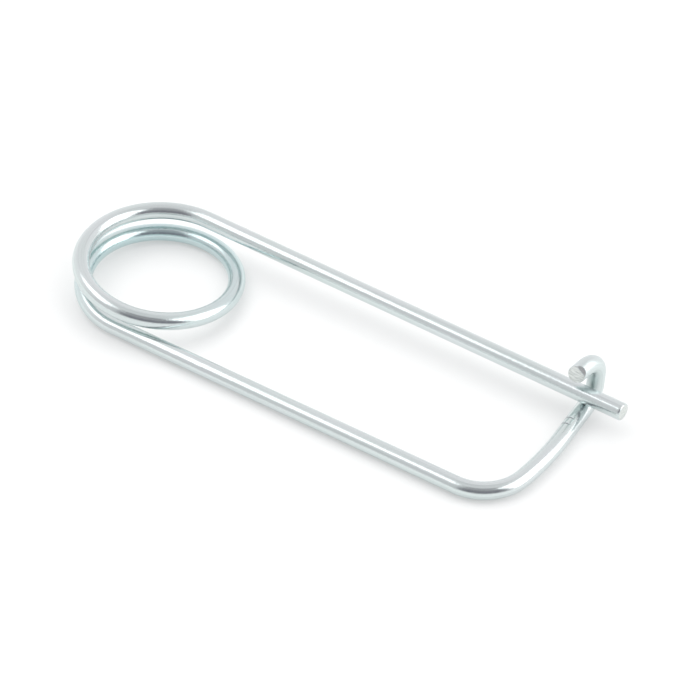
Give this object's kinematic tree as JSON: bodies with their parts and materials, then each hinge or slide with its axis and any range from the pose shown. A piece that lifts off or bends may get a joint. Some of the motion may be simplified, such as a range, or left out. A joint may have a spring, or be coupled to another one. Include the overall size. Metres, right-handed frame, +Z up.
{
  "type": "hitch pin lock",
  "caption": "Coiled tension wire safety pin: a sprung pin leg is held under the curled keeper hook of a bent wire frame and is squeezed in and lifted to release.",
  "frame": {"origin": "on the floor below the middle of the whole pin's outline", "axes": "+X from the spring coil to the keeper hook, along both legs; +Y from the frame leg to the pin leg; +Z up, off the surface the frame leg lies on"},
  "size_m": [0.1055, 0.0357, 0.012],
  "materials": {
    "zinc_plate": "bright zinc plate over drawn spring wire",
    "cut_end": "zinc plate over a sheared end, dull and scored"
  },
  "bodies": {
    "frame": {"frame_leg": "zinc_plate", "coil_lower": "zinc_plate", "corner_bend": "zinc_plate", "cross_bar": "zinc_plate", "keeper_riser": "zinc_plate", "keeper_crook": "zinc_plate", "keeper_lip": "cut_end"},
    "coil_middle": {"coil_middle": "zinc_plate"},
    "coil_upper": {"coil_upper": "zinc_plate"},
    "pin_leg": {"pin_leg": "zinc_plate"}
  },
  "joints": [
    {"name": "coil_wind_middle", "type": "hinge", "parent": "frame", "child": "coil_middle", "pos_m": [-0.0367, -0.002, 0.00399], "axis": [-0.066, -0.0854, -0.9942], "range_deg": [0, 3]},
    {"name": "coil_wind_upper", "type": "hinge", "parent": "coil_middle", "child": "coil_upper", "pos_m": [-0.0367, -0.002, 0.00399], "axis": [-0.066, -0.0854, -0.9942], "range_deg": [0, 3]},
    {"name": "leg_squeeze", "type": "hinge", "parent": "coil_upper", "child": "pin_leg", "pos_m": [-0.03655, 0.01293, 0.00632], "axis": [0, -0.788, -0.6157], "range_deg": [0, 8], "stiffness_Nm_per_rad": 12, "springref_deg": -13.75}
  ],
  "couplings": [
    {"joint": "coil_wind_middle", "follows": "leg_squeeze", "ratio": 0.36},
    {"joint": "coil_wind_upper", "follows": "leg_squeeze", "ratio": 0.36}
  ]
}
